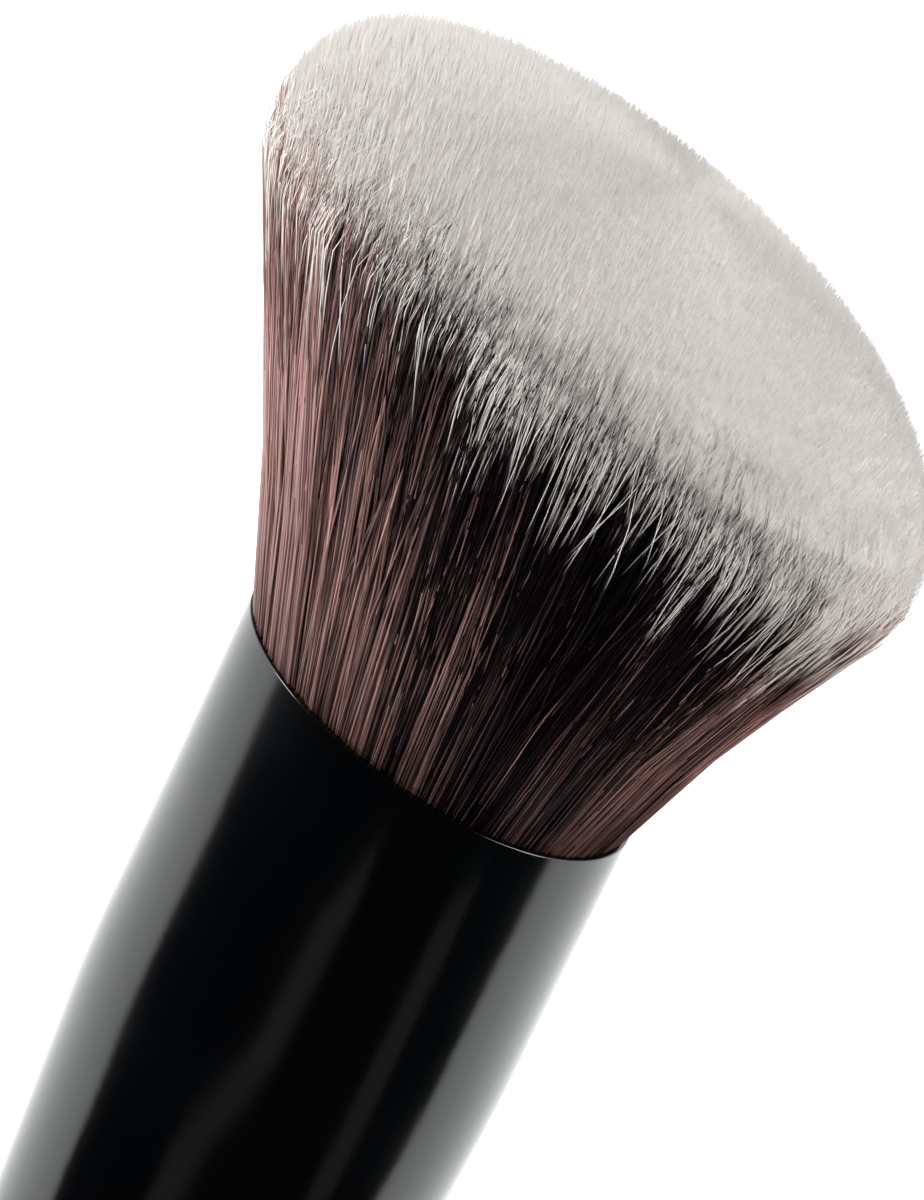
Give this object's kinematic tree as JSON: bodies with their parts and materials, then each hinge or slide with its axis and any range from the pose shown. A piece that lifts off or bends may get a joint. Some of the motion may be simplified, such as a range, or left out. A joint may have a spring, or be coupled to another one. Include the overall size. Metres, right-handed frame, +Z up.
{
  "type": "angled blush brush",
  "caption": "Make-up brush with a slanted, domed head of two-tone synthetic fibres in a round black ferrule on a tapered black handle.",
  "frame": {"origin": "middle of the brush's length and width, on the surface that it lies on", "axes": "+X from the handle's tail towards the fibre tips, +Z up, out of the broad upper side; the short side of the slanted fibres faces -Y"},
  "size_m": [0.17, 0.035, 0.0243],
  "materials": {
    "black_lacquered_wood": "black gloss lacquer on turned wood",
    "black_enamelled_metal": "black gloss enamel",
    "set_adhesive": "clear amber resin",
    "binding_thread": "twisted cotton thread",
    "brown_fibre": "reddish-brown synthetic fibre, satin sheen",
    "pale_fibre": "pale warm-grey synthetic fibre, soft and matt"
  },
  "bodies": {
    "root": {"handle": "black_lacquered_wood", "ferrule": "black_enamelled_metal", "glue_plug": "set_adhesive", "binding_thread": "binding_thread", "fibre_body": "brown_fibre", "fibre_tips": "pale_fibre"}
  },
  "joints": []
}
